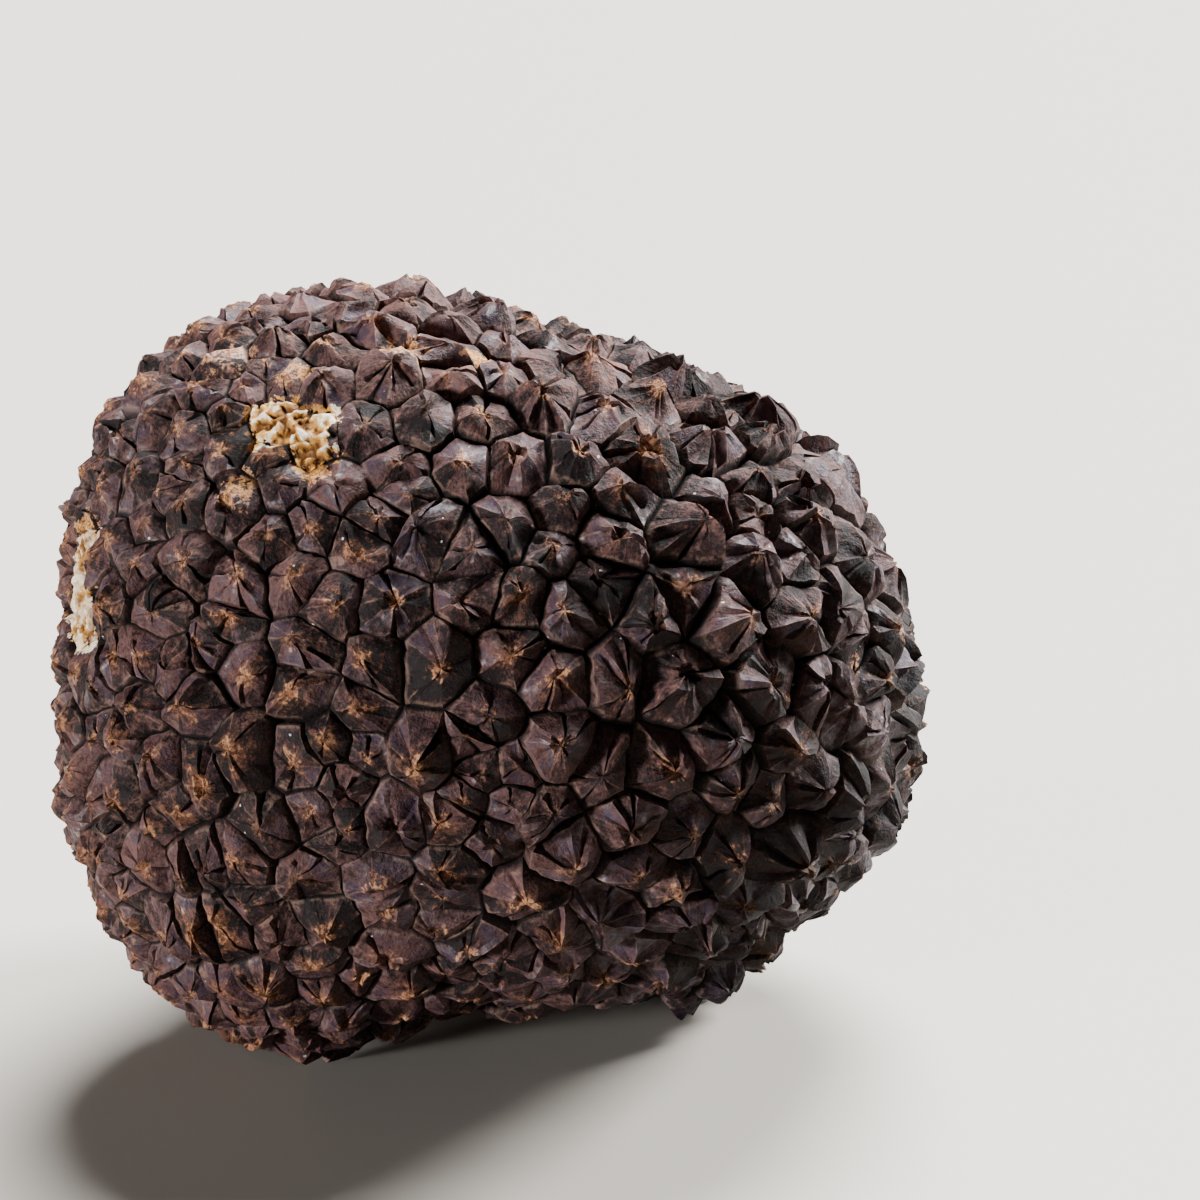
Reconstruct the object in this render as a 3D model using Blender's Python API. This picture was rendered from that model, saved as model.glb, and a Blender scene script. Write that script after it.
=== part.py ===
"""A whole black truffle: one knobbly body covered in many-sided warts, at rest on its three lowest swellings.

Metres, +Z up, -Y towards the viewer. The origin is on the ground, under the middle of the body's bounding box.
"""

import math
import random

import bmesh
import bpy
from mathutils import Vector

MM = 0.001

# The swellings that grew into one body: centre and half-widths in mm from the body's heart
SWELLINGS = {
    "belly": ((0.8, -1.0, 0.0), (30.8, 26.0, 25.0)),
    "left shoulder": ((-9.5, 2.0, 9.5), (21.0, 20.0, 18.5)),
    "right shoulder": ((11.0, 2.0, 0.5), (18.5, 20.0, 19.0)),
    "right flank": ((18.0, 6.0, -8.0), (15.0, 16.0, 14.5)),
    "back": ((2.0, 14.0, -3.0), (24.0, 20.0, 20.0)),
    "left foot": ((-13.6, -4.5, -5.7), (17.5, 17.5, 22.9)),
    "right foot": ((15.5, 5.5, -16.3), (9.0, 11.0, 13.0)),
    "back foot": ((-3.0, 17.0, -15.4), (13.0, 11.0, 14.0)),
}
FEET = ("left foot", "right foot", "back foot")
BLEND = 16  # higher keeps a sharper valley between two swellings
HEART_HEIGHT = 29.7 * MM  # the ground trims the lowest warts flat this far below the heart

# Where the skin is gone and the flesh lies bare, as directions from the heart
BARE_PLACES = (
    (-0.50, -0.43, 0.75), (-0.42, -0.50, 0.76),
    (-0.91, -0.24, 0.33), (-0.92, -0.30, 0.22),
)

WART_COUNT = 650
USUAL_WIDTH = 2.1 * MM  # half the usual distance from one wart's middle to the next
WIDER_TO_THE_RIGHT = 6.0  # a wart's wanted width grows by this share for each metre to the right
WIDER_TO_THE_BACK = 3.0  # and by this share for each metre to the back
WIDTH_SPREAD = 0.25  # a wart's own wanted width lies within this share of the usual
WIDTH_PULL = 0.7  # 0 lets two neighbours share the room evenly, 1 by their wanted widths
BALL_ROUNDS = 5  # splits of the ball on which the warts are scattered
SPOTS_OFFERED = 6  # more offers leave fewer gaps
EVENNESS = 0.8  # 1 puts a corner as far from each of its three seeds, 0 in the middle of their triangle
SHORTEST_SIDE = 0.5 * MM  # corners nearer than this are one corner
HEIGHT_SHARE = 0.40  # a wart's height over the side of a square of its area
SHOULDER_WIDTH = 0.83  # the shoulder's outline over the wart's
SHOULDER_HEIGHT = 0.50  # the shoulder's height over the top's
TOP_SLIP = 0.10  # how far a top may lie off the middle, as a share of the wart's size
DIP_DEPTH = 0.25  # a sunken middle lies this share of the height below the top
SUNKEN_SHARE = 0.35  # share of warts whose middle is sunken
BARE_DEPTH = 0.3 * MM  # how far bare flesh lies under the skin

SKIN_COLOUR = (0.030, 0.020, 0.018, 1.0)
SKIN_ROUGHNESS = 0.55


def clear_scene():
    for old in list(bpy.data.objects):
        bpy.data.objects.remove(old)


def reach(direction, centre, half_widths):
    """Distance from the heart to one swelling's far side along a direction, or 0 where it is missed."""
    middle = Vector([c / w for c, w in zip(centre, half_widths)])
    along = Vector([d / w for d, w in zip(direction, half_widths)])
    a = along.dot(along)
    b = along.dot(middle)
    under_root = b * b - a * (middle.dot(middle) - 1.0)
    return max(0.0, (b + math.sqrt(under_root)) / a) if under_root > 0.0 else 0.0


def skin_point(direction):
    """The point of the smooth body, before its warts, that lies in a direction from the heart."""
    total = sum(reach(direction, *swelling) ** BLEND for swelling in SWELLINGS.values())
    return direction * (total ** (1.0 / BLEND) * MM)


def foot_direction(name):
    """The direction from the heart to a foot's lowest point."""
    (x, y, z), half_widths = SWELLINGS[name]
    return Vector((x, y, z - half_widths[2])).normalized()


def smooth_ball():
    """The smooth body as an even net of small triangles."""
    ball = bmesh.new()
    bmesh.ops.create_icosphere(ball, subdivisions=BALL_ROUNDS, radius=1.0)
    for vertex in ball.verts:
        vertex.co = skin_point(vertex.co.normalized())
    return ball


def usual_width(spot):
    """The usual width of a wart at a place, before its own share."""
    return (1.0 + WIDER_TO_THE_RIGHT * spot.x + WIDER_TO_THE_BACK * spot.y) * USUAL_WIDTH


def scattered_seeds(rng, pinned):
    """Each wart's direction and wanted width: after the pinned ones, each takes the roomiest spot offered."""
    ball = smooth_ball()
    faces = ball.faces[:]
    areas = [face.calc_area() for face in faces]
    spots = [skin_point(direction) for direction in pinned]
    widths = [usual_width(spot) for spot in spots]
    while len(spots) < WART_COUNT:
        offered = [face.calc_center_median() for face in rng.choices(faces, areas, k=SPOTS_OFFERED)]
        share = rng.uniform(1.0 - WIDTH_SPREAD, 1.0 + WIDTH_SPREAD)

        def room(spot):
            wanted = usual_width(spot) * share
            return min((spot - other).length / (wanted + width) for other, width in zip(spots, widths))

        spots.append(max(offered, key=room))
        widths.append(usual_width(spots[-1]) * share)
    ball.free()
    return [spot.normalized() for spot in spots], widths


def seed_net(seeds):
    """Triangles that join each seed, on the smooth body, to its neighbours; also the seeds' vertices."""
    net = bmesh.new()
    vertices = [net.verts.new(seed) for seed in seeds]
    bmesh.ops.convex_hull(net, input=net.verts)
    for vertex in vertices:
        vertex.co = skin_point(vertex.co)
    bmesh.ops.beautify_fill(net, faces=net.faces, edges=net.edges, method="ANGLE")
    bmesh.ops.recalc_face_normals(net, faces=net.faces)
    return net, vertices


def faces_around(vertex):
    """The faces that meet at a vertex, in turn."""
    first = loop = vertex.link_loops[0]
    faces = [loop.face]
    loop = loop.link_loop_prev.link_loop_radial_next
    while loop != first:
        faces.append(loop.face)
        loop = loop.link_loop_prev.link_loop_radial_next
    return faces


def corner_point(triangle, width_at):
    """Where three warts meet: a point about even between their seeds, but nearer the narrower warts'."""
    a, b, c = (vertex.co for vertex in triangle.verts)
    wide_a, wide_b, wide_c = (WIDTH_PULL * width_at[vertex] ** 2 for vertex in triangle.verts)
    along, beside = b - a, c - a
    out = along.cross(beside)
    to_even = out.cross(along) * (beside.length_squared + wide_a - wide_c)
    to_even += beside.cross(out) * (along.length_squared + wide_a - wide_b)
    even = a + to_even / (2.0 * out.length_squared)
    return skin_point(triangle.calc_center_median().lerp(even, EVENNESS).normalized())


def wart_net(seeds, widths):
    """The smooth body as a mesh with one many-sided face for each wart, in the order of the seeds."""
    net, vertices = seed_net(seeds)
    width_at = dict(zip(vertices, widths))
    body = bmesh.new()
    corner = {face: body.verts.new(corner_point(face, width_at)) for face in net.faces}
    warts = [body.faces.new([corner[face] for face in faces_around(vertex)]) for vertex in vertices]
    net.free()
    bmesh.ops.remove_doubles(body, verts=body.verts, dist=SHORTEST_SIDE)
    bmesh.ops.recalc_face_normals(body, faces=body.faces)
    body.normal_update()
    return body, warts


def shape_wart(body, wart, rng, kind):
    """Draws a wart's face in to its shoulder, lifts it, and raises or sinks its middle."""
    size = math.sqrt(wart.calc_area())
    middle = wart.calc_center_median()
    outward = wart.normal.copy()
    across = outward.orthogonal().normalized()
    sideways = across * rng.uniform(-1.0, 1.0) + outward.cross(across) * rng.uniform(-1.0, 1.0)
    height = size * HEIGHT_SHARE * rng.uniform(0.85, 1.15)
    sunken = rng.random() < SUNKEN_SHARE and kind == "free"
    top = middle + sideways * (size * TOP_SLIP) + outward * height * (1.0 - DIP_DEPTH * sunken)
    shoulder_height = height * SHOULDER_HEIGHT
    if kind == "bare":
        top = middle - outward * BARE_DEPTH
        shoulder_height = -0.5 * BARE_DEPTH
    bmesh.ops.inset_individual(body, faces=[wart], thickness=0.0)
    for vertex in wart.verts:
        vertex.co = middle + (vertex.co - middle) * SHOULDER_WIDTH + outward * shoulder_height
    bmesh.ops.poke(body, faces=[wart])["verts"][0].co = top


def flatten_feet(body):
    """Trims what would reach below the ground, and closes each cut with a flat face."""
    everything = body.verts[:] + body.edges[:] + body.faces[:]
    ground = Vector((0.0, 0.0, -HEART_HEIGHT))
    cut = bmesh.ops.bisect_plane(
        body, geom=everything, plane_co=ground, plane_no=(0.0, 0.0, -1.0), clear_outer=True
    )
    rim = [item for item in cut["geom_cut"] if isinstance(item, bmesh.types.BMEdge)]
    bmesh.ops.holes_fill(body, edges=rim)


def stand_on_origin(body):
    """Moves the body so that the middle of its bounding box is above the origin and its feet are at 0."""
    lowest = [min(vertex.co[axis] for vertex in body.verts) for axis in range(3)]
    highest = [max(vertex.co[axis] for vertex in body.verts) for axis in range(3)]
    shift = (-(lowest[0] + highest[0]) / 2, -(lowest[1] + highest[1]) / 2, -lowest[2])
    bmesh.ops.translate(body, verts=body.verts, vec=shift)


def skin_material():
    material = bpy.data.materials.new("warty_skin")
    material.use_nodes = True
    shader = material.node_tree.nodes["Principled BSDF"]
    shader.inputs["Base Color"].default_value = SKIN_COLOUR
    shader.inputs["Roughness"].default_value = SKIN_ROUGHNESS
    return material


def build_truffle():
    rng = random.Random(19)
    pinned = [foot_direction(name) for name in FEET]
    pinned += [Vector(place).normalized() for place in BARE_PLACES]
    kinds = ["foot"] * len(FEET) + ["bare"] * len(BARE_PLACES) + ["free"] * (WART_COUNT - len(pinned))
    body, warts = wart_net(*scattered_seeds(rng, pinned))
    for wart, kind in zip(warts, kinds):
        shape_wart(body, wart, rng, kind)
    flatten_feet(body)
    stand_on_origin(body)
    mesh = bpy.data.meshes.new("truffle")
    body.to_mesh(mesh)
    body.free()
    mesh.materials.append(skin_material())
    truffle = bpy.data.objects.new("truffle", mesh)
    bpy.context.scene.collection.objects.link(truffle)


clear_scene()
build_truffle()
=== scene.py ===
"""A whole black truffle with its fine skin: cracked warts, rusty tips and bare flesh, on a plain pale stage.

Metres, +Z up, -Y towards the viewer. The net of warts follows the same rule as the solid's.
"""

import math
import random

import bmesh
import bpy
from bpy.props import FloatProperty, FloatVectorProperty, IntProperty, PointerProperty
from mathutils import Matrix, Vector, kdtree, noise


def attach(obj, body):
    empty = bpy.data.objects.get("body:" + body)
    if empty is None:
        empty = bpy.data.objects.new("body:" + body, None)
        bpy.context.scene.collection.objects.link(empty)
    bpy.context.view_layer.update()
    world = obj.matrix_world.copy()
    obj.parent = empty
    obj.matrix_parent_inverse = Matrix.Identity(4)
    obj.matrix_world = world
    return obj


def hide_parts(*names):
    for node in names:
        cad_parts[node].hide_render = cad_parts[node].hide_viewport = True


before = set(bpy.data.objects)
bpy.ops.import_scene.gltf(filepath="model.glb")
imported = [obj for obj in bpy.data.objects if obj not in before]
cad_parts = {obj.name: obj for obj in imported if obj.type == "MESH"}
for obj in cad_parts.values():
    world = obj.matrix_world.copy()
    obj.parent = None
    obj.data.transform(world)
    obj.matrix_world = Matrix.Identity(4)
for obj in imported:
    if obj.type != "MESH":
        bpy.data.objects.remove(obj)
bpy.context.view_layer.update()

bl_info = {
    "name": "Black truffle",
    "version": (1, 0, 0),
    "blender": (4, 5, 0),
    "location": "3D View > Sidebar > Truffle",
    "description": "Builds a whole black truffle with its fine skin, and the stage to look at it on",
    "category": "Add Mesh",
}

MM = 0.001

# The heart of the body, from which all its swellings are measured
HEART = Vector((-1.159, -3.824, 29.7)) * MM

# The swellings that grew into one body: centre and half-widths in mm from the heart
SWELLINGS = {
    "belly": ((0.8, -1.0, 0.0), (30.8, 26.0, 25.0)),
    "left shoulder": ((-9.5, 2.0, 9.5), (21.0, 20.0, 18.5)),
    "right shoulder": ((11.0, 2.0, 0.5), (18.5, 20.0, 19.0)),
    "right flank": ((18.0, 6.0, -8.0), (15.0, 16.0, 14.5)),
    "back": ((2.0, 14.0, -3.0), (24.0, 20.0, 20.0)),
    "left foot": ((-13.6, -4.5, -5.7), (17.5, 17.5, 22.9)),
    "right foot": ((15.5, 5.5, -16.3), (9.0, 11.0, 13.0)),
    "back foot": ((-3.0, 17.0, -15.4), (13.0, 11.0, 14.0)),
}
FEET = ("left foot", "right foot", "back foot")
BLEND = 16  # higher keeps a sharper valley between two swellings
BODY_REACH = 30.0 * MM  # about how far the body reaches to either side
BODY_HEIGHT = 59.0 * MM

# Where the skin is gone and the flesh lies bare, as directions from the heart
BARE_PLACES = (
    (-0.50, -0.43, 0.75), (-0.42, -0.50, 0.76),
    (-0.91, -0.24, 0.33), (-0.92, -0.30, 0.22),
)

# Rubbed places: direction from the heart, radius in mm and how much skin is rubbed off
RUBBED_PLACES = (
    ((-0.58, -0.16, 0.80), 2.6, 0.58),
    ((-0.45, -0.29, 0.84), 1.4, 0.75),
    ((-0.21, -0.27, 0.94), 2.2, 0.72),
    ((-0.02, -0.25, 0.97), 1.4, 1.00),
    ((-0.54, -0.82, -0.19), 0.9, 1.00),
    ((-0.80, -0.53, -0.28), 0.8, 0.90),
    ((-0.59, -0.52, 0.62), 1.8, 0.72),
    ((-0.42, -0.57, 0.70), 1.3, 0.95),
    ((-0.74, -0.67, -0.04), 0.6, 0.95),
    ((0.73, -0.67, 0.13), 1.0, 0.60),
    ((0.88, -0.45, 0.16), 1.2, 0.55),
    ((-0.90, -0.20, 0.40), 2.0, 0.80),
    ((-0.93, -0.27, 0.25), 1.8, 0.80),
)

FLESH_HEIGHT = 0.35 * MM  # how far bare flesh stands over the smooth body
FLESH_FADE = 1.1 * MM  # how far the ragged edge of the bare flesh reaches to either side
LUMP_HEIGHT = 0.44 * MM  # from the deepest hollow of the bare flesh to its highest lump
RUGGED_DIRECTION = (0.39, -0.62, 0.68)  # the direction in which the warts are tallest and most cracked

# The net of warts. These numbers are the solid's, so that both have the same warts
NET_START = 19  # the start of the net's random draws
USUAL_WIDTH = 2.1 * MM  # half the usual distance from one wart's middle to the next
WIDER_TO_THE_RIGHT = 6.0  # a wart's wanted width grows by this share for each metre to the right
WIDER_TO_THE_BACK = 3.0  # and by this share for each metre to the back
WIDTH_SPREAD = 0.25  # a wart's own wanted width lies within this share of the usual
WIDTH_PULL = 0.7  # 0 lets two neighbours share the room evenly, 1 by their wanted widths
BALL_ROUNDS = 5  # splits of the ball on which the warts are scattered
SPOTS_OFFERED = 6  # more offers leave fewer gaps
EVENNESS = 0.8  # 1 puts a corner as far from each of its three seeds, 0 in the middle of their triangle
SHORTEST_SIDE = 0.5 * MM  # corners nearer than this are one corner

# Rings of a wart from its rim to near its tip, as shares of the way out. The second ring is the shoulder,
# which lies a little nearer or farther out on each wart
RINGS = (1.0, 0.92, 0.76, 0.54, 0.33, 0.15)
SHOULDER_SPREAD = (0.88, 0.95)
WART_START = 4000  # a wart's own random draws start from this and its number
TIP_SLIP = 0.15  # how far a tip may lie off the middle, as a share of the wart's width
LEAST_LEAN = 0.14  # the steepest slope at which a top leans at the left; at the right it is twice that
LOWEST_LIFT = 0.12  # no point inside a wart lies lower than this share of the wart's height
WIDEST_SPLIT = 4.2 * MM  # a wart wider than this may be split in two by a crack

NOISE_START = 7  # fixes the noise, which would else differ from run to run
GROOVE_SWAY = 0.22 * MM  # how far a groove sways to either side of the straight line between two corners
FILLED_HEIGHT = 1.8 * MM  # how far the highest fill of a closed groove would stand over its bottom
FILLED_FULLY = 0.5 * MM  # a fill of this height or more shows no dark groove
FILLED_SHARE = 0.09  # such a groove is coloured as if it lay this share further in
FLESH_CUTS = 2  # further splits of the bare flesh's faces
SHARP_ANGLE = math.radians(32.0)  # edges sharper than this stay sharp

# The suns: where each one comes from, its strength, and its spread in degrees, which softens its shadows
SUNS = {
    "key": ((-0.86, -0.50, 0.07), 5.9, 9.0),
    "top": ((0.16, 0.50, 0.85), 11.6, 30.0),
    "right": ((0.76, 0.44, 0.48), 11.0, 18.0),
}
FLOOR_RADIUS = 3.0
PHOTO_SIDE = 1200.0  # pixels
HEART_IN_PHOTO = (482.0, 667.0)  # pixels from the left and from the top


def colour_value(name, description, default):
    """A colour that a user can change."""
    return FloatVectorProperty(name=name, description=description, default=default, size=3, subtype="COLOR")


class TruffleSkin(bpy.types.PropertyGroup):
    """Sizes of the skin's warts, grooves and cracks."""

    wart_count: IntProperty(name="Warts", description="How many warts cover the body", default=650, min=100)
    wart_height: FloatProperty(
        name="Wart height", description="A wart's height over its width", default=0.43, subtype="FACTOR"
    )
    rim_step: FloatProperty(
        name="Rim step", description="Distance of the points along a groove", default=0.63 * MM, unit="LENGTH"
    )
    groove_depth: FloatProperty(
        name="Groove depth", description="How far the grooves lie under the body's face", default=0.15 * MM,
        unit="LENGTH",
    )
    crack_depth: FloatProperty(
        name="Crack depth", description="Depth of a wart's deepest cracks", default=0.85 * MM, unit="LENGTH"
    )
    roughness_height: FloatProperty(
        name="Unevenness", description="Height of the fine unevenness of the facets", default=0.15 * MM,
        unit="LENGTH",
    )


class TruffleColours(bpy.types.PropertyGroup):
    """Colours of the skin and of the flesh under it."""

    # the light and dark skin also carry painted light at the lower left and the top, and painted shade at the
    # lower right
    skin_dark: colour_value("Dark skin", "The darkest facets", (0.0060, 0.0030, 0.0036))
    skin_light: colour_value("Light skin", "The dusty facets", (0.154, 0.073, 0.065))
    skin_blue: colour_value("Smooth skin", "The smooth, blue-grey facets", (0.024, 0.018, 0.038))
    rust: colour_value("Rust", "Rough rusty skin at the tips", (0.26, 0.100, 0.045))
    tan: colour_value("Tan", "The palest fibres at the tips", (0.64, 0.35, 0.185))
    # deep flesh colour, which also serves as painted shade in the flesh's hollows
    flesh_deep_and_shade: colour_value("Deep flesh", "Bare flesh in its hollows", (0.170, 0.066, 0.015))
    flesh_pale: colour_value("Pale flesh", "Bare flesh on its lumps", (0.84, 0.42, 0.095))
    # painted highlight on the highest lumps of the flesh
    flesh_highlight: colour_value("Cream flesh", "The palest lumps of the bare flesh", (1.0, 0.92, 0.72))
    flesh_left: colour_value("Left flesh", "Pale parts of the bare flesh at the left edge", (1.0, 0.84, 0.64))
    # worn ridges, also painted highlights along the ridges and shoulders
    worn_and_highlit: colour_value("Worn ridges", "Lines where the ridges are worn", (0.24, 0.150, 0.115))
    # painted shade in the grooves and cracks
    groove_shade: colour_value("Grooves", "The bottoms of grooves and cracks", (0.0040, 0.0026, 0.0026))
    speck: colour_value("Specks", "Small pale specks", (0.80, 0.76, 0.70))


class TruffleStage(bpy.types.PropertyGroup):
    """The floor, the light and the camera."""

    floor_colour: colour_value("Floor", "Colour of the floor and of the room", (0.555, 0.516, 0.458))
    floor_shade: colour_value("Floor shade", "Colour of the floor's faint clouds", (0.50, 0.475, 0.435))
    room_light: FloatProperty(
        name="Room light", description="Strength of the even light from all sides", default=0.075
    )
    lens: FloatProperty(name="Lens", description="The camera's focal length in mm", default=100.0)
    distance: FloatProperty(
        name="Distance", description="From the camera to the body's heart", default=0.2577, unit="LENGTH"
    )
    elevation: FloatProperty(
        name="Elevation", description="How far the camera looks down", default=math.radians(18.0),
        subtype="ANGLE",
    )


def reach(direction, centre, half_widths):
    """Distance from the heart to one swelling's far side along a direction, or 0 where it is missed."""
    middle = Vector([c / w for c, w in zip(centre, half_widths)])
    along = Vector([d / w for d, w in zip(direction, half_widths)])
    a = along.dot(along)
    b = along.dot(middle)
    under_root = b * b - a * (middle.dot(middle) - 1.0)
    return max(0.0, (b + math.sqrt(under_root)) / a) if under_root > 0.0 else 0.0


def skin_point(direction):
    """The point of the smooth body, before its warts, that lies in a direction from the heart."""
    total = sum(reach(direction, *swelling) ** BLEND for swelling in SWELLINGS.values())
    return direction * (total ** (1.0 / BLEND) * MM)


def foot_direction(name):
    """The direction from the heart to a foot's lowest point."""
    (x, y, z), half_widths = SWELLINGS[name]
    return Vector((x, y, z - half_widths[2])).normalized()


def smooth_ball():
    """The smooth body as an even net of small triangles."""
    ball = bmesh.new()
    bmesh.ops.create_icosphere(ball, subdivisions=BALL_ROUNDS, radius=1.0)
    for vertex in ball.verts:
        vertex.co = skin_point(vertex.co.normalized())
    return ball


def usual_width(spot):
    """The usual width of a wart at a place, before its own share."""
    return (1.0 + WIDER_TO_THE_RIGHT * spot.x + WIDER_TO_THE_BACK * spot.y) * USUAL_WIDTH


def scattered_seeds(rng, pinned, count):
    """Each wart's direction and wanted width: after the pinned ones, each takes the roomiest spot offered."""
    ball = smooth_ball()
    faces = ball.faces[:]
    areas = [face.calc_area() for face in faces]
    spots = [skin_point(direction) for direction in pinned]
    widths = [usual_width(spot) for spot in spots]
    while len(spots) < count:
        offered = [face.calc_center_median() for face in rng.choices(faces, areas, k=SPOTS_OFFERED)]
        share = rng.uniform(1.0 - WIDTH_SPREAD, 1.0 + WIDTH_SPREAD)

        def room(spot):
            wanted = usual_width(spot) * share
            return min((spot - other).length / (wanted + width) for other, width in zip(spots, widths))

        spots.append(max(offered, key=room))
        widths.append(usual_width(spots[-1]) * share)
    ball.free()
    return [spot.normalized() for spot in spots], widths


def seed_net(seeds):
    """Triangles that join each seed, on the smooth body, to its neighbours; also the seeds' vertices."""
    net = bmesh.new()
    vertices = [net.verts.new(seed) for seed in seeds]
    bmesh.ops.convex_hull(net, input=net.verts)
    for vertex in vertices:
        vertex.co = skin_point(vertex.co)
    bmesh.ops.beautify_fill(net, faces=net.faces, edges=net.edges, method="ANGLE")
    bmesh.ops.recalc_face_normals(net, faces=net.faces)
    return net, vertices


def faces_around(vertex):
    """The faces that meet at a vertex, in turn."""
    first = loop = vertex.link_loops[0]
    faces = [loop.face]
    loop = loop.link_loop_prev.link_loop_radial_next
    while loop != first:
        faces.append(loop.face)
        loop = loop.link_loop_prev.link_loop_radial_next
    return faces


def corner_point(triangle, width_at):
    """Where three warts meet: a point about even between their seeds, but nearer the narrower warts'."""
    a, b, c = (vertex.co for vertex in triangle.verts)
    wide_a, wide_b, wide_c = (WIDTH_PULL * width_at[vertex] ** 2 for vertex in triangle.verts)
    along, beside = b - a, c - a
    out = along.cross(beside)
    to_even = out.cross(along) * (beside.length_squared + wide_a - wide_c)
    to_even += beside.cross(out) * (along.length_squared + wide_a - wide_b)
    even = a + to_even / (2.0 * out.length_squared)
    return skin_point(triangle.calc_center_median().lerp(even, EVENNESS).normalized())


def wart_net(count):
    """The smooth body with one many-sided face for each wart: feet, bare places, then the others."""
    rng = random.Random(NET_START)
    pinned = [foot_direction(name) for name in FEET]
    pinned += [Vector(place).normalized() for place in BARE_PLACES]
    seeds, widths = scattered_seeds(rng, pinned, count)
    net, vertices = seed_net(seeds)
    width_at = dict(zip(vertices, widths))
    body = bmesh.new()
    corner = {face: body.verts.new(corner_point(face, width_at)) for face in net.faces}
    warts = [body.faces.new([corner[face] for face in faces_around(vertex)]) for vertex in vertices]
    net.free()
    bmesh.ops.remove_doubles(body, verts=body.verts, dist=SHORTEST_SIDE)
    bmesh.ops.recalc_face_normals(body, faces=body.faces)
    body.normal_update()
    return body, warts


def smooth_step(low, high, value):
    """Rises smoothly from 0 at low to 1 at high, or falls where high is the lesser."""
    share = min(1.0, max(0.0, (value - low) / (high - low)))
    return share * share * (3.0 - 2.0 * share)


def rubbed_at(place):
    """How much of the skin is rubbed off at a point, from 0 to 1."""
    most = 0.0
    for direction, radius, strength in RUBBED_PLACES:
        spot = skin_point(Vector(direction).normalized())
        distance = (place - spot).length / (radius * MM)
        if distance < 2.0:
            ragged = distance + 0.45 * noise.noise(place / (1.1 * MM))
            most = max(most, strength * (1.0 - smooth_step(0.65, 1.15, ragged)))
    return most


# The place where the warts are tallest and most cracked
RUGGED_SPOT = skin_point(Vector(RUGGED_DIRECTION).normalized())


class Sheet:
    """The skin's mesh as it is put together: points, faces, and what each face's corners carry."""

    def __init__(self):
        self.points = []
        self.faces = []
        self.petal = []
        self.form = []
        self.patch = []
        self.bare_faces = []
        self.closed = {}

    def add_point(self, place):
        self.points.append(place)
        return len(self.points) - 1

    def add_face(self, corners, tone, bare):
        """Adds one face. A corner is its point, its angle round the wart, the wart's number and its form."""
        if bare:
            self.bare_faces.append(len(self.faces))
        self.faces.append([corner[0] for corner in corners])
        for index, angle, number, form in corners:
            self.petal += (math.cos(angle), math.sin(angle), number)
            self.form += form
            self.patch += (self.flesh[index], self.rubbed[index], tone)

    def note_worn(self, warts):
        """Works out for each point how much skin is rubbed off, and how far it is inside the bare flesh."""
        self.rubbed = [rubbed_at(place) for place in self.points]
        inside = set()
        outside = set()
        for wart, rings, tip in warts:
            if wart.kind == "bare":
                inside.update([tip], *rings)
            else:
                outside.update(rings[0])
        edge = sorted(inside & outside)
        tree = kdtree.KDTree(len(edge))
        for index in edge:
            tree.insert(self.points[index], index)
        tree.balance()
        self.flesh = []
        for index, place in enumerate(self.points):
            depth = min(1.0, tree.find(place)[2] / FLESH_FADE)
            self.flesh.append(0.5 + 0.5 * depth if index in inside else 0.5 - 0.5 * depth)


def groove_bottom(faces, bare_numbers, settings):
    """How far the line between these warts lies over the smooth body. Bare flesh fills it."""
    bare = [face.index in bare_numbers for face in faces]
    return FLESH_HEIGHT * sum(bare) / len(bare) - settings.groove_depth * (not all(bare))


def split_sides(body, sheet, bare_numbers, settings):
    """Puts points along each side between two warts, which share them. The groove runs through them."""
    corner_index = {}
    for vertex in body.verts:
        bottom = groove_bottom(vertex.link_faces, bare_numbers, settings)
        corner_index[vertex] = sheet.add_point(vertex.co + vertex.normal * bottom)
    steps = {}
    for edge in body.edges:
        first, last = edge.verts
        count = max(1, round(edge.calc_length() / settings.rim_step))
        out = (first.normal + last.normal).normalized()
        across = (last.co - first.co).cross(out).normalized()
        closed = max(0.0, noise.noise((first.co + last.co) / (3.1 * MM))) * FILLED_HEIGHT
        bottom = groove_bottom(edge.link_faces, bare_numbers, settings)
        between = []
        for number in range(1, count):
            share = number / count
            place = first.co.lerp(last.co, share)
            place = skin_point(place.normalized())
            sway = noise.noise(place / (1.3 * MM)) * GROOVE_SWAY
            filled = closed * math.sin(math.pi * share)
            between.append(sheet.add_point(place + across * sway + out * (filled + bottom)))
            sheet.closed[between[-1]] = min(1.0, filled / FILLED_FULLY)
        steps[(first, last)] = between
        steps[(last, first)] = between[::-1]
    return corner_index, steps


def rim_of(wart, corner_index, steps):
    """The points round a wart in turn, and which of them are its corners."""
    rim = []
    corners = []
    vertices = wart.verts[:]
    for vertex, following in zip(vertices, vertices[1:] + vertices[:1]):
        corners.append(len(rim))
        rim.append(corner_index[vertex])
        rim += steps[(vertex, following)]
    return rim, corners


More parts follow.
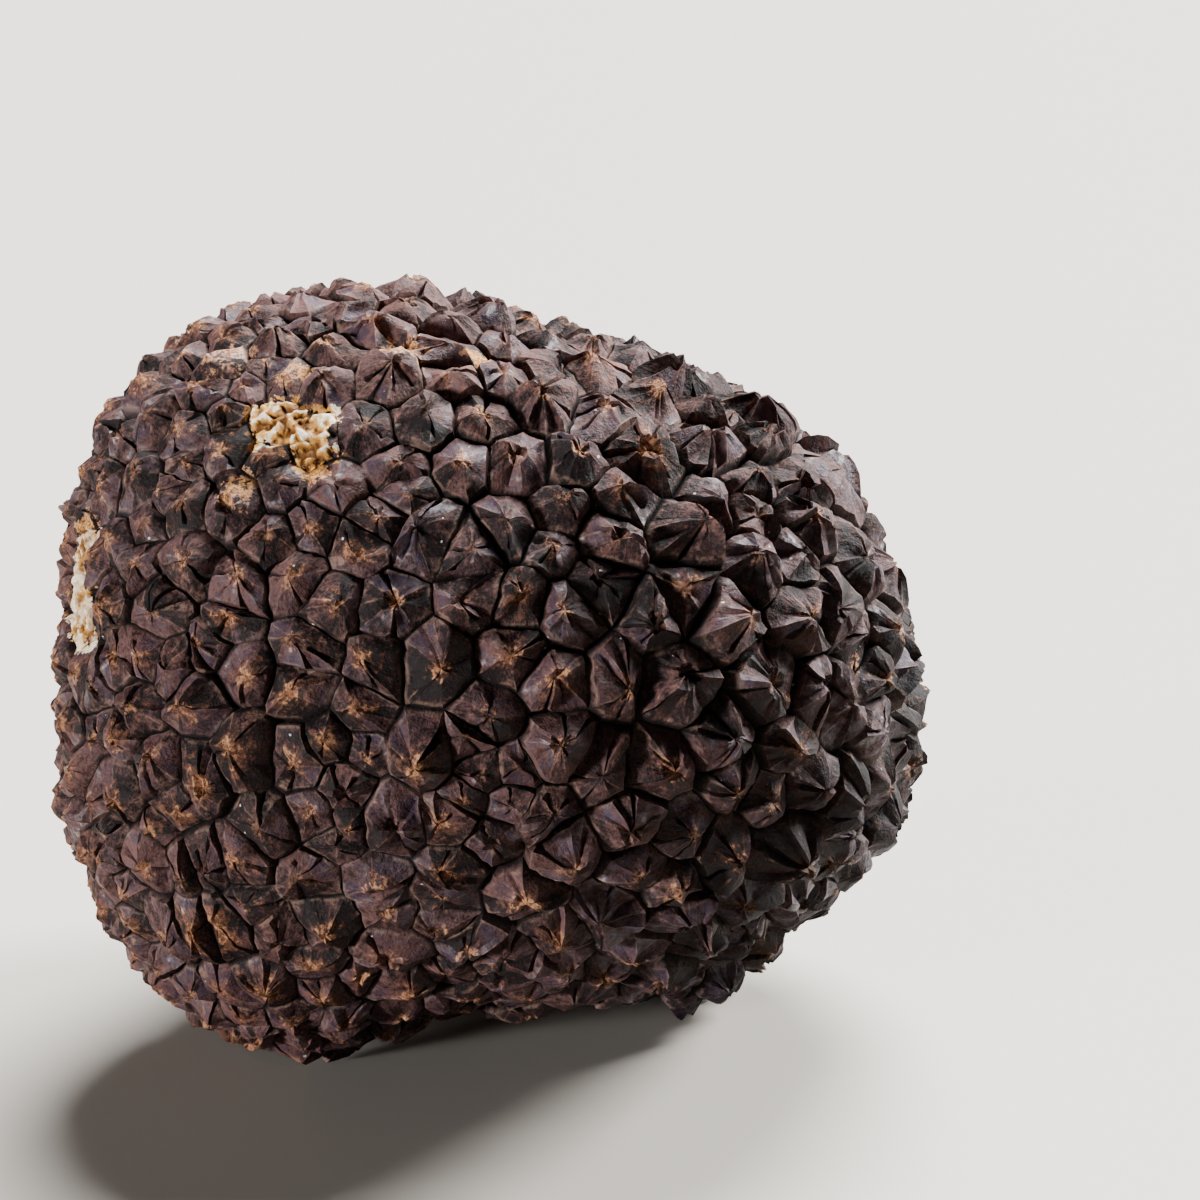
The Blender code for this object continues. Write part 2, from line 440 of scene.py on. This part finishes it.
class Wart:
    """One wart: a low pyramid with facets from its rim to its tip, and cracks along some columns."""

    def __init__(self, number, face, rim, corners, sheet, settings, kind):
        self.rng = random.Random(WART_START + number)
        self.number = number
        self.kind = kind
        self.rim = [sheet.points[index] for index in rim]
        self.closed = [sheet.closed.get(index, 0.0) for index in rim]
        self.count = len(rim)
        self.width = math.sqrt(face.calc_area())
        middle = face.calc_center_median()
        self.middle = skin_point(middle.normalized())
        self.out = face.normal.copy()
        self.side = self.out.orthogonal().normalized()
        self.up = self.out.cross(self.side)
        self.rugged = smooth_step(7.5 * MM, 3.5 * MM, (self.middle - RUGGED_SPOT).length)
        self.bold = smooth_step(-18.0 * MM, 18.0 * MM, self.middle.x)
        self.choose_height((self.middle - middle).dot(self.out), settings)
        self.slip = self.drawn_across() * self.width * TIP_SLIP
        steepest = 0.0 if kind == "foot" else LEAST_LEAN * (1.0 + self.bold)
        self.tilt = self.drawn_across() * steepest
        spokes = [place - self.middle for place in self.rim]
        self.angles = [math.atan2(spoke.dot(self.up), spoke.dot(self.side)) for spoke in spokes]
        self.choose_ridges(self.rng, corners)
        self.choose_cracks(self.rng, settings)
        self.choose_profile(self.rng)
        self.unevenness = settings.roughness_height * (1.5 - 0.5 * self.bold)

    def drawn_across(self):
        """A random way along the skin."""
        return self.side * self.rng.uniform(-1.0, 1.0) + self.up * self.rng.uniform(-1.0, 1.0)

    def choose_height(self, bulge, settings):
        """A wart is lower where the body is hollow, and taller to the right and at the rugged spot."""
        room = 1.0 + max(-0.45, min(0.1, 1.6 * (bulge / MM - 0.1)))
        self.height = self.width * settings.wart_height * self.rng.uniform(0.70, 1.30) * room
        far_right = smooth_step(16.0 * MM, 29.0 * MM, self.middle.x)
        self.height *= 0.84 + 0.22 * self.bold + 0.25 * self.rugged - 0.25 * far_right
        self.height *= 1.0 - 0.25 * smooth_step(-6.0 * MM, -22.0 * MM, self.middle.z)
        self.shoulder_out = self.rng.uniform(*SHOULDER_SPREAD)
        self.shares = (1.0, self.shoulder_out, *RINGS[2:])

    def choose_profile(self, rng):
        """How the skin rises from the rim to the tip, all round and along each column."""
        self.tip_sinks = rng.choice((0.0, 0.0, 0.10, 0.20, 0.32)) * self.height
        self.tip_width = rng.uniform(0.16, 0.40)
        self.flat_top = rng.choice((0.14, 0.20, 0.28, 0.36))
        self.shoulder = rng.uniform(0.18, 0.38) + 0.06 * self.bold
        self.roundness = rng.uniform(0.56, 0.90)
        self.fold = [rng.uniform(-1.0, 1.0) * (0.04 + 0.05 * self.bold) for _ in self.rim]
        apart = Vector((self.number * 3.7, 0.0, 0.0))
        self.wave = [1.0 + 0.55 * noise.noise(place / (1.9 * MM) + apart) for place in self.rim]

    def choose_ridges(self, rng, corners):
        """Ridges run to most corners, and to a place or two on the long sides. Between two lies a facet."""
        ridges = [corner for corner in corners if rng.random() < 0.75]
        if len(ridges) < 4:
            ridges = list(corners)
        for start, end in zip(corners, corners[1:] + [self.count]):
            if end - start >= 4 and rng.random() < 0.30:
                ridges.append(rng.randint(start + 2, end - 2))
        self.ridges = sorted(ridges)
        self.tone = []
        self.ridge_near = []
        self.valley = []
        self.swell = []
        tones = [rng.random() for _ in self.ridges]
        swells = [rng.uniform(-0.26, 0.22) for _ in self.ridges]
        folded = [rng.random() < 0.30 + 0.40 * self.bold for _ in self.ridges]
        deepest = 0.22 + 0.10 * self.bold
        depths = [rng.uniform(0.10, deepest) if fold else rng.uniform(-0.04, 0.10) for fold in folded]
        for column in range(self.count):
            number = max((i for i, ridge in enumerate(self.ridges) if ridge <= column), default=-1)
            start = self.ridges[number]
            end = self.ridges[(number + 1) % len(self.ridges)]
            span = (end - start) % self.count or self.count
            share = ((column - start) % self.count) / span
            to_ridge = min(share, 1.0 - share)
            self.tone.append(tones[number])
            self.ridge_near.append(max(0.0, 1.0 - 1.1 * to_ridge * span))
            hollow = 2.0 * to_ridge if folded[number] else math.sin(math.pi * share)
            self.valley.append(depths[number] * hollow)
            following = swells[(number + 1) % len(self.ridges)]
            self.swell.append(swells[number] * (1.0 - share) + following * share)

    def choose_cracks(self, rng, settings):
        """Each crack is a column, its depth, and the shares of the way out between which it is open."""
        self.cracks = []
        style = rng.random() * (1.0 - 0.6 * self.rugged)
        self.split = self.kind == "free" and style > 0.88 and self.width > WIDEST_SPLIT
        if self.split:
            start = rng.randrange(self.count)
            for column in (start, (start + self.count // 2 + rng.choice((-1, 0, 1))) % self.count):
                self.cracks.append((column, settings.crack_depth * 1.3, -0.3, 1.05))
        if self.kind == "foot":
            count = 0
        elif style < 0.25:
            count = rng.randint(5, 7)
        elif style < 0.75:
            count = rng.randint(3, 4)
        else:
            count = rng.randint(1, 2)
        taken = [crack[0] for crack in self.cracks]
        for _ in range(count):
            column = rng.randrange(self.count)
            gap = min((min((column - c) % self.count, (c - column) % self.count) for c in taken), default=99)
            if gap < 3:
                continue
            taken.append(column)
            depth = settings.crack_depth * rng.uniform(0.35, 1.0)
            begin = rng.uniform(0.0, 0.35)
            end = rng.uniform(0.6, 0.93) if rng.random() < 0.5 else 1.02
            self.cracks.append((column, depth, begin, end))

    def crack_at(self, column, share):
        """How deep a crack is at a column, from 0 to 1 of its depth, and that depth."""
        for centre, depth, begin, end in self.cracks:
            if centre == column:
                opened = smooth_step(begin - 0.05, begin + 0.2, share)
                closed = smooth_step(end - 0.2, end + 0.05, share)
                return opened * (1.0 - closed), depth
        return 0.0, 0.0

    def lean_to_crack(self, column, share):
        """The rim point that a column aims at, drawn to a crack beside it so that the crack is narrow."""
        place = self.rim[column]
        for centre, depth, begin, end in self.cracks:
            if (column - centre) % self.count in (1, self.count - 1):
                place = place.lerp(self.rim[centre], 0.58 * self.crack_at(centre, share)[0])
        return place

    def lift(self, column, share):
        """Height of the skin over the smooth body, without cracks."""
        shoulder = self.shoulder * self.wave[column]
        if share > self.shoulder_out:
            wall = (1.0 - share) / (1.0 - self.shoulder_out)
            rise = shoulder * wall ** 0.7
        else:
            along = max(share, self.flat_top) / self.shoulder_out
            rise = shoulder + (1.0 - shoulder) * (1.0 - along) ** self.roundness
            rise -= self.valley[column] * math.sin(math.pi * along * 0.80)
            rise += self.swell[column] * math.sin(math.pi * along)
            rise += self.fold[column] * math.sin(math.pi * along * 0.85)
        sunk = self.tip_sinks * (1.0 - smooth_step(0.4 * self.tip_width, self.tip_width, share))
        return rise * self.height - sunk

    def place(self, column, share):
        """Where the skin is at a column and a share of the way from the tip to the rim."""
        if self.kind == "bare":
            flat = self.middle.lerp(self.rim[column], share)
            return flat + self.out * FLESH_HEIGHT * smooth_step(0.0, 0.25, 1.0 - share)
        flat = self.middle.lerp(self.lean_to_crack(column, share), share)
        flat = flat + self.slip * (1.0 - share) ** 1.2
        wall = min(1.0, (1.0 - share) / (1.0 - self.shoulder_out))
        crack, depth = self.crack_at(column, share)
        height = self.lift(column, share) + self.tilt.dot(flat - self.middle) * wall
        height = max(height, LOWEST_LIFT * self.height * wall)
        height -= crack * min(depth, 0.80 * self.height)
        point = flat + self.out * height
        grain = noise.noise_vector(point / (0.8 * MM)) * 0.7 + noise.noise_vector(point / (2.2 * MM))
        rough_tip = noise.noise_vector(point / (0.45 * MM)) * (0.20 * MM * smooth_step(0.50, 0.20, share))
        return point + grain * self.unevenness * wall + rough_tip


def add_wart(sheet, wart, rim):
    """Builds one wart's rings of points and the faces between them."""
    count = wart.count
    rings = [rim]
    for share in wart.shares[1:]:
        rings.append([sheet.add_point(wart.place(column, share)) for column in range(count)])
    tip = sum((sheet.points[index] for index in rings[-1]), Vector()) / count
    rough = wart.rng.uniform(-0.12, 0.06) * wart.height - 0.35 * MM * wart.split
    return rings, sheet.add_point(tip + wart.out * rough)


def join_rings(sheet, wart, rings, tip):
    """Adds the faces of one wart."""
    count = wart.count

    def corner(ring, column):
        column %= count
        share = RINGS[ring]
        shown = share - FILLED_SHARE * wart.closed[column] * (ring == 0)
        form = (shown, wart.ridge_near[column], wart.crack_at(column, share)[0])
        return rings[ring][column], wart.angles[column], wart.number, form

    bare = wart.kind == "bare"
    for column in range(count):
        tone = wart.tone[column]
        for ring in range(len(rings) - 1):
            corners = (
                corner(ring, column), corner(ring, column + 1), corner(ring + 1, column + 1),
                corner(ring + 1, column),
            )
            sheet.add_face(corners, tone, bare)
        inner = len(rings) - 1
        middle = (tip, wart.angles[column], wart.number, (0.0, 0.0, 0.0))
        sheet.add_face((corner(inner, column), corner(inner, column + 1), middle), tone, bare)


def skin_sheet(settings):
    """The whole skin: the net of warts, each side between two of them split, and each wart raised on it."""
    body, faces = wart_net(settings.wart_count)
    kinds = ["foot"] * len(FEET) + ["bare"] * len(BARE_PLACES)
    kinds += ["free"] * (len(faces) - len(kinds))
    sheet = Sheet()
    body.faces.index_update()
    bare_numbers = [face.index for face, kind in zip(faces, kinds) if kind == "bare"]
    corner_index, steps = split_sides(body, sheet, bare_numbers, settings)
    built = []
    for number, (face, kind) in enumerate(zip(faces, kinds)):
        rim, corners = rim_of(face, corner_index, steps)
        wart = Wart(number, face, rim, corners, sheet, settings, kind)
        built.append((wart, *add_wart(sheet, wart, rim)))
    body.free()
    sheet.note_worn(built)
    for wart, rings, tip in built:
        join_rings(sheet, wart, rings, tip)
    return sheet


def skin_object(sheet):
    """Makes the skin's mesh, with its corners' values as attributes."""
    mesh = bpy.data.meshes.new("truffle_skin")
    mesh.from_pydata([place + HEART for place in sheet.points], [], sheet.faces)
    for name, values in (("petal", sheet.petal), ("form", sheet.form), ("patch", sheet.patch)):
        attribute = mesh.attributes.new(name, "FLOAT_VECTOR", "CORNER")
        attribute.data.foreach_set("vector", values)
    skin = bpy.data.objects.new("truffle_skin", mesh)
    bpy.context.collection.objects.link(skin)
    return skin


def select_only(piece):
    bpy.ops.object.select_all(action="DESELECT")
    piece.select_set(True)
    bpy.context.view_layer.objects.active = piece


def roughen_bare_flesh(skin, bare_faces):
    """Splits the bare places finely and raises the lumps of the flesh there."""
    select_only(skin)
    for polygon in skin.data.polygons:
        polygon.select = False
    bpy.ops.object.mode_set(mode="EDIT")
    bpy.ops.mesh.select_mode(type="FACE")
    bpy.ops.mesh.select_all(action="DESELECT")
    bpy.ops.object.mode_set(mode="OBJECT")
    for index in bare_faces:
        skin.data.polygons[index].select = True
    bpy.ops.object.mode_set(mode="EDIT")
    bpy.ops.mesh.subdivide(number_cuts=FLESH_CUTS)
    bpy.ops.object.mode_set(mode="OBJECT")
    mesh = bmesh.new()
    mesh.from_mesh(skin.data)
    patch = mesh.loops.layers.float_vector["patch"]
    for vertex in mesh.verts:
        if all(loop[patch].x > 0.52 for loop in vertex.link_loops):
            lumps = flesh_lumps(vertex.co)
            vertex.co += vertex.normal * (lumps - 0.4) * LUMP_HEIGHT
            for loop in vertex.link_loops:
                loop[patch].z = lumps
    mesh.to_mesh(skin.data)
    mesh.free()


def flesh_lumps(place):
    """Height of the flesh's lumps at a point, from 0 to 1."""
    bent = place + noise.noise_vector(place / (0.7 * MM)) * 0.30 * MM
    blobs = 1.1 * noise.noise(bent / (0.50 * MM)) + 0.6 * noise.noise(place / (1.3 * MM))
    return max(0.0, min(1.0, 0.5 + blobs))


def rest_on_ground(skin):
    """Presses what reaches below the ground flat onto it."""
    for vertex in skin.data.vertices:
        vertex.co.z = max(0.0, vertex.co.z)


class Wire:
    """A number inside a material, with which Python's arithmetic adds the nodes it stands for."""

    def __init__(self, recipe, socket):
        self.recipe = recipe
        self.socket = socket

    def _math(self, operation, first, second, clamp=False):
        settings = {"operation": operation, "use_clamp": clamp}
        return self.recipe.add("ShaderNodeMath", settings, {0: first, 1: second}).wire()

    def __add__(self, other):
        return self._math("ADD", self, other)

    __radd__ = __add__

    def __sub__(self, other):
        return self._math("SUBTRACT", self, other)

    def __rsub__(self, other):
        return self._math("SUBTRACT", other, self)

    def __mul__(self, other):
        return self._math("MULTIPLY", self, other)

    __rmul__ = __mul__

    def __truediv__(self, other):
        return self._math("DIVIDE", self, other)

    def __rtruediv__(self, other):
        return self._math("DIVIDE", other, self)

    def __pow__(self, other):
        return self._math("POWER", self, other)

    def clamped(self):
        return self._math("ADD", self, 0.0, clamp=True)

    def above(self, limit):
        return self._math("GREATER_THAN", self, limit)

    def step(self, low, high):
        """Rises smoothly from 0 at low to 1 at high."""
        settings = {"interpolation_type": "SMOOTHSTEP", "clamp": True}
        return self.recipe.add("ShaderNodeMapRange", settings, {0: self, 1: low, 2: high}).wire()


class Added:
    """A node that a recipe has added."""

    def __init__(self, recipe, node):
        self.recipe = recipe
        self.node = node

    def wire(self, output=0):
        return Wire(self.recipe, self.node.outputs[output])


class Recipe:
    """A material put together from nodes."""

    def __init__(self, name):
        self.material = bpy.data.materials.new(name)
        self.material.use_nodes = True
        self.tree = self.material.node_tree
        self.shader = self.tree.nodes["Principled BSDF"]

    def add(self, kind, settings=None, sockets=None):
        """Adds a node of a type, sets its settings, then gives its sockets values or links."""
        node = self.tree.nodes.new(kind)
        for name, value in (settings or {}).items():
            setattr(node, name, value)
        for name, value in (sockets or {}).items():
            self.feed(node.inputs[name], value)
        return Added(self, node)

    def feed(self, socket, value):
        if isinstance(value, Wire):
            self.tree.links.new(value.socket, socket)
        elif hasattr(value, "__len__") and len(value) == 3 and socket.type == "RGBA":
            socket.default_value = (*value, 1.0)
        else:
            socket.default_value = value

    def shade(self, **sockets):
        for name, value in sockets.items():
            self.feed(self.shader.inputs[name.replace("_", " ")], value)

    def mix(self, share, first, second, blend="MIX"):
        """Mixes two colours."""
        settings = {"data_type": "RGBA", "blend_type": blend}
        return self.add("ShaderNodeMix", settings, {0: share, 6: first, 7: second}).wire(2)

    def place(self):
        return self.add("ShaderNodeTexCoord").wire("Object")

    def attribute(self, name):
        return self.add("ShaderNodeAttribute", {"attribute_name": name}).wire("Vector")

    def split(self, vector):
        parts = self.add("ShaderNodeSeparateXYZ", None, {0: vector})
        return parts.wire(0), parts.wire(1), parts.wire(2)

    def join(self, x, y, z):
        return self.add("ShaderNodeCombineXYZ", None, {0: x, 1: y, 2: z}).wire()

    def grain(self, vector, scale, detail=3.0, roughness=0.55):
        sockets = {"Vector": vector, "Scale": scale, "Detail": detail, "Roughness": roughness}
        return self.add("ShaderNodeTexNoise", None, sockets).wire("Fac")

    def bump(self, height, depth, under=None):
        sockets = {"Height": height, "Distance": depth, "Strength": 1.0}
        if under is not None:
            sockets["Normal"] = under
        return self.add("ShaderNodeBump", None, sockets).wire()


class SkinRecipe(Recipe):
    """The truffle's skin. Its mesh carries each wart's spokes, number and form, and what is worn or bare."""

    def __init__(self, colours):
        super().__init__("truffle_skin")
        self.colours = colours
        self.at = self.place()
        self.spoke_x, self.spoke_y, self.number = self.split(self.attribute("petal"))
        self.out, self.ridge, self.crack = self.split(self.attribute("form"))
        self.flesh, self.rubbed, self.tone = self.split(self.attribute("patch"))
        drawn = self.add("ShaderNodeTexWhiteNoise", {"noise_dimensions": "1D"}, {"W": self.number})
        self.tipped, self.tip_size, self.dark_wart = self.split(drawn.wire("Color"))
        self.find_place_on_body()
        self.add_grains()

    def find_place_on_body(self):
        """How far to the right and how high a point lies, and how deep in the two lower corners, for painted
        light at the lower left and painted shade at the lower right.
        """
        across, _, height = self.split(self.at)
        self.to_right = across / BODY_REACH
        self.height = height / BODY_HEIGHT
        low = (1.0 - self.height) * 0.8 - 0.75
        # these weigh the painted light at the lower left and the painted shade at the lower right
        self.painted_light_low_left = (low - self.to_right * 0.6).clamped()
        self.painted_shade_low_right = (low + self.to_right * 0.6).clamped()

    def add_grains(self):
        """Noise of several sizes, from broad shades to dust, and fibres that run out from each wart's tip."""
        self.broad = self.grain(self.at, 170.0, 2.0)
        self.patches = self.grain(self.at, 620.0, 3.0)
        self.fine = self.grain(self.at, 1700.0, 4.0, 0.65)
        self.dust = self.grain(self.at, 4600.0, 3.0, 0.7)
        bend = self.grain(self.at, 400.0, 1.0) * 3.0
        along = self.out * 1.8 + self.number * 7.3
        spokes = self.join(self.spoke_x * 8.0 + bend, self.spoke_y * 8.0 - bend, along)
        self.fibres = self.grain(spokes, 1.0, 4.0, 0.60)

    def facets(self):
        """Dusty facets between dark ones, and smooth blue-grey ones; slightly lighter to the right, with
        painted light at the lower left and the top and painted shade at the lower right.
        """
        facet_tone_and_light = self.broad * 0.45 + self.patches * 0.70 + self.fine * 0.95 + self.dust * 0.65
        facet_tone_and_light = facet_tone_and_light + self.fibres * 0.45 + self.tone * 0.42 - self.dark_wart * 0.18 + self.to_right * 0.04
        # painted light at the lower left and at the top, painted shade at the lower right
        facet_tone_and_light = facet_tone_and_light + self.painted_light_low_left * 0.32 - self.painted_shade_low_right * 0.60 + (self.height - 0.86).clamped() * 1.5
        colour = self.mix(facet_tone_and_light.step(1.50, 2.10), self.colours.skin_dark, self.colours.skin_light)
        self.smooth = self.tone.step(0.44, 0.74) * (self.patches * 0.6 + self.fine * 0.4).step(0.44, 0.56)
        return self.mix(self.smooth * 0.80, colour, self.colours.skin_blue)

    def worn_and_highlit_ridges(self, colour):
        """Pale lines along the ridges and round the shoulders: partly wear, partly painted highlight where
        the edges catch the light.
        """
        shoulders = self.out.step(0.82, 0.90) * (1.0 - self.out.step(0.93, 0.97))
        worn_and_highlit = self.ridge.step(0.72, 1.0) * self.out.step(0.95, 0.75) + shoulders * 0.8
        worn_and_highlit = worn_and_highlit * (self.patches * 0.5 + self.fine * 0.5).step(0.45, 0.58)
        # pale ridges and shoulders: partly wear, partly painted highlight
        return self.mix((worn_and_highlit * 0.62).clamped(), colour, self.colours.worn_and_highlit)

    def rusty_tips(self, colour):
        """The rusty, fibrous tips of many warts, each in a faint rusty halo that grows towards the lower left
        as painted light.
        """
        blotches = (self.fine - 0.5) * 1.5 + (self.patches - 0.5) * 0.9 + (self.dust - 0.5) * 0.6
        reach_of_tip = 0.12 + self.tip_size * 0.20 - self.to_right * 0.03
        near_tip = (reach_of_tip - self.out + blotches).step(0.0, 0.14)
        tan_share = (self.dust * 0.5 + self.fine * 0.5).step(0.47, 0.58)
        rusty = self.mix(tan_share, self.colours.rust, self.colours.tan)
        strength = (self.tipped - self.to_right * 0.22).step(0.10, 0.75)
        colour = self.mix(near_tip * strength * 0.85, colour, rusty)
        halo = (reach_of_tip * 2.2 - self.out + blotches * 1.4).step(0.0, 0.35)
        # the halo's share at the lower left is painted light
        return self.mix(halo * (strength * 0.32 + self.painted_light_low_left * 0.45), colour, self.colours.rust)

    def scuffs(self, colour):
        """Skin rubbed down to a pale rust, or where it is rubbed hardest to golden flesh."""
        scuffed = (self.fine - 0.5) * 2.4 + (self.patches - 0.5) * 1.0 + (self.dust - 0.5) * 1.2
        scuffed = (self.rubbed * 1.2 + scuffed - 0.34).step(0.22, 0.50)
        rusty_share = (self.fine * 0.5 + self.dust * 0.5).step(0.44, 0.60)
        golden_share = (self.fine * 0.4 + self.dust * 0.6).step(0.45, 0.56)
        pale_rust = self.mix(rusty_share, self.colours.rust, self.colours.tan)
        golden = self.mix(golden_share, self.colours.rust, self.colours.flesh_pale)
        return self.mix(scuffed * 0.9, colour, self.mix(self.rubbed.step(0.6, 0.85), pale_rust, golden))

    def paint_groove_shade(self, colour):
        """Painted shade, black in the grooves between the warts and in the cracks, where the skin is also
        dark of its own.
        """
        groove_shade = (self.out + (self.fine - 0.5) * 0.10).step(0.905, 0.985)
        self.groove_shade_mask = (groove_shade + self.crack * 0.9).clamped()
        # painted shade in the grooves and cracks
        return self.mix(self.groove_shade_mask * 0.90, colour, self.colours.groove_shade)

    def bare_flesh(self, colour):
        """Golden flesh, paler on its lumps and at the left edge, with a ragged outline; its darker hollows
        are partly painted shade, and its palest lumps are painted highlights.
        """
        # lump height picks the colour: painted shade in the hollows, painted highlights on the highest lumps
        lumps = (self.tone + (self.fine - 0.5) * 0.8 + (self.dust - 0.5) * 0.5).step(0.15, 0.90)
        painted_highlight_share = (self.tone + (self.fine - 0.5) * 1.6).step(0.74, 1.0)
        at_left = (0.0 - self.to_right).step(0.90, 1.06) * self.patches.step(0.46, 0.58) * 0.80
        bare = self.mix(lumps, self.colours.flesh_deep_and_shade, self.colours.flesh_pale)
        bare = self.mix(painted_highlight_share, bare, self.colours.flesh_highlight)
        bare = self.mix(at_left, bare, self.colours.flesh_left)
        at_edge = self.flesh * (1.0 - self.flesh) * 4.0
        ragged = ((self.fine - 0.5) * 1.8 + (self.patches - 0.5) * 3.4) * at_edge
        self.spill = (self.flesh + ragged).step(0.36, 0.44)
        return self.mix(self.spill, colour, bare)

    def specks(self, colour):
        """Small pale specks, scattered over the skin."""
        dots = self.add("ShaderNodeTexVoronoi", {"feature": "F1"}, {"Vector": self.at, "Scale": 560.0})
        some = self.split(dots.wire("Color"))[0].above(0.72)
        speck = (0.056 + (self.dust - 0.5) * 0.14 - dots.wire("Distance")).above(0.0) * some
        return self.mix(speck * 0.85, colour, self.colours.speck)

    def finish(self, colour):
        """Matt skin with a soft sheen on its smooth facets, and a grain of fibres, fine bumps and dust."""
        rough = 0.66 - self.smooth * 0.22 + (self.fine - 0.5) * 0.40 + self.groove_shade_mask * 0.3 - self.spill * 0.25
        sheen = self.smooth * self.fine.step(0.40, 0.60) * (1.0 - self.groove_shade_mask) * 0.22
        fibre_bump = self.bump(self.fibres, 0.08 * MM)
        fine_bump = self.bump(self.fine, 0.19 * MM, fibre_bump)
        dust_bump = self.bump(self.dust, 0.06 * MM, fine_bump)
        self.shade(
            Base_Color=colour, Roughness=rough.clamped(), Specular_IOR_Level=0.16, Coat_Weight=sheen,
            Coat_Roughness=0.32, Normal=dust_bump,
        )


def skin_material(colours):
    """Dry brown-black skin, then what lies over it: worn ridges with painted highlights, tips, scuffs,
    painted groove shade, flesh with painted highlights and shade, and specks.
    """
    skin = SkinRecipe(colours)
    colour = skin.facets()
    layers = (skin.worn_and_highlit_ridges, skin.rusty_tips, skin.scuffs, skin.paint_groove_shade, skin.bare_flesh, skin.specks)
    for layer in layers:
        colour = layer(colour)
    skin.finish(colour)
    return skin.material


def floor_material(stage):
    """A plain pale floor with faint clouds."""
    recipe = Recipe("pale_floor")
    cloud = recipe.grain(recipe.place(), 6.0, 2.0)
    shaded = recipe.mix(cloud * 0.12, stage.floor_colour, stage.floor_shade)
    recipe.shade(Base_Color=shaded, Roughness=0.65)
    return recipe.material


class TRUFFLE_OT_skin(bpy.types.Operator):
    """Builds the truffle's skin with its warts, cracks and bare places"""

    bl_idname = "truffle.skin"
    bl_label = "Build the Skin"

    def execute(self, context):
        noise.seed_set(NOISE_START)
        sheet = skin_sheet(context.scene.truffle_skin)
        skin = skin_object(sheet)
        roughen_bare_flesh(skin, sheet.bare_faces)
        rest_on_ground(skin)
        select_only(skin)
        bpy.ops.object.mode_set(mode="EDIT")
        bpy.ops.mesh.select_all(action="SELECT")
        bpy.ops.mesh.normals_make_consistent(inside=False)
        bpy.ops.object.mode_set(mode="OBJECT")
        bpy.ops.object.shade_smooth_by_angle(angle=SHARP_ANGLE)
        skin.data.materials.append(skin_material(context.scene.truffle_colours))
        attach(skin, "root")
        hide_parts("truffle")
        return {"FINISHED"}


class TRUFFLE_OT_stage(bpy.types.Operator):
    """Sets up the pale floor, the soft light and the camera"""

    bl_idname = "truffle.stage"
    bl_label = "Set the Stage"

    def execute(self, context):
        stage = context.scene.truffle_stage
        bpy.ops.object.select_all(action="DESELECT")
        self.add_floor(context, stage)
        self.light_room(context, stage)
        for name, (side, strength, spread) in SUNS.items():
            self.add_sun(name, Vector(side), strength, spread)
        self.add_camera(context, stage)
        return {"FINISHED"}

    def add_floor(self, context, stage):
        """A wide round floor. It throws no light back up onto the body."""
        middle = (0.0, 0.0, 0.0)
        bpy.ops.mesh.primitive_circle_add(vertices=96, radius=FLOOR_RADIUS, fill_type="NGON", location=middle)
        floor = context.active_object
        floor.name = "floor"
        floor.data.materials.append(floor_material(stage))
        floor.visible_diffuse = False

    def light_room(self, context, stage):
        """A dim even light from all sides."""
        world = bpy.data.worlds.new("pale_room")
        world.use_nodes = True
        room = world.node_tree.nodes["Background"]
        room.inputs["Color"].default_value = (*stage.floor_colour, 1.0)
        room.inputs["Strength"].default_value = stage.room_light
        context.scene.world = world

    def add_sun(self, name, side, strength, spread):
        """A broad light that comes from a side of the body."""
        bpy.ops.object.light_add(type="SUN", location=HEART + side)
        light = bpy.context.active_object
        light.name = name
        light.data.energy = strength
        light.data.angle = math.radians(spread)
        light.rotation_euler = (-side).to_track_quat("-Z", "Y").to_euler()

    def add_camera(self, context, stage):
        """Looks at the heart along +Y from above; the shift puts the heart where it is in the frame."""
        back = Vector((0.0, -math.cos(stage.elevation), math.sin(stage.elevation)))
        bpy.ops.object.camera_add(location=HEART + back * stage.distance)
        camera = context.active_object
        camera.rotation_euler = (-back).to_track_quat("-Z", "Y").to_euler()
        camera.data.lens = stage.lens
        camera.data.sensor_width = 36.0
        camera.data.clip_start = 0.01
        camera.data.shift_x = 0.5 - HEART_IN_PHOTO[0] / PHOTO_SIDE
        camera.data.shift_y = HEART_IN_PHOTO[1] / PHOTO_SIDE - 0.5
        context.scene.camera = camera


class TRUFFLE_PT_sidebar(bpy.types.Panel):
    """Lists the truffle's sizes, colours and steps"""

    bl_idname = "TRUFFLE_PT_sidebar"
    bl_label = "Black Truffle"
    bl_space_type = "VIEW_3D"
    bl_region_type = "UI"
    bl_category = "Truffle"

    def draw(self, context):
        layout = self.layout
        for group in (context.scene.truffle_skin, context.scene.truffle_colours, context.scene.truffle_stage):
            box = layout.box()
            for name in group.bl_rna.properties.keys():
                if name not in ("rna_type", "name"):
                    box.prop(group, name)
        layout.operator("truffle.skin")
        layout.operator("truffle.stage")


CLASSES = (TruffleSkin, TruffleColours, TruffleStage, TRUFFLE_OT_skin, TRUFFLE_OT_stage, TRUFFLE_PT_sidebar)


def register():
    for cls in CLASSES:
        bpy.utils.register_class(cls)
    bpy.types.Scene.truffle_skin = PointerProperty(type=TruffleSkin)
    bpy.types.Scene.truffle_colours = PointerProperty(type=TruffleColours)
    bpy.types.Scene.truffle_stage = PointerProperty(type=TruffleStage)


def unregister():
    del bpy.types.Scene.truffle_stage
    del bpy.types.Scene.truffle_colours
    del bpy.types.Scene.truffle_skin
    for cls in reversed(CLASSES):
        bpy.utils.unregister_class(cls)


def main():
    register()
    bpy.ops.truffle.skin()
    bpy.ops.truffle.stage()


if __name__ == "__main__":
    main()
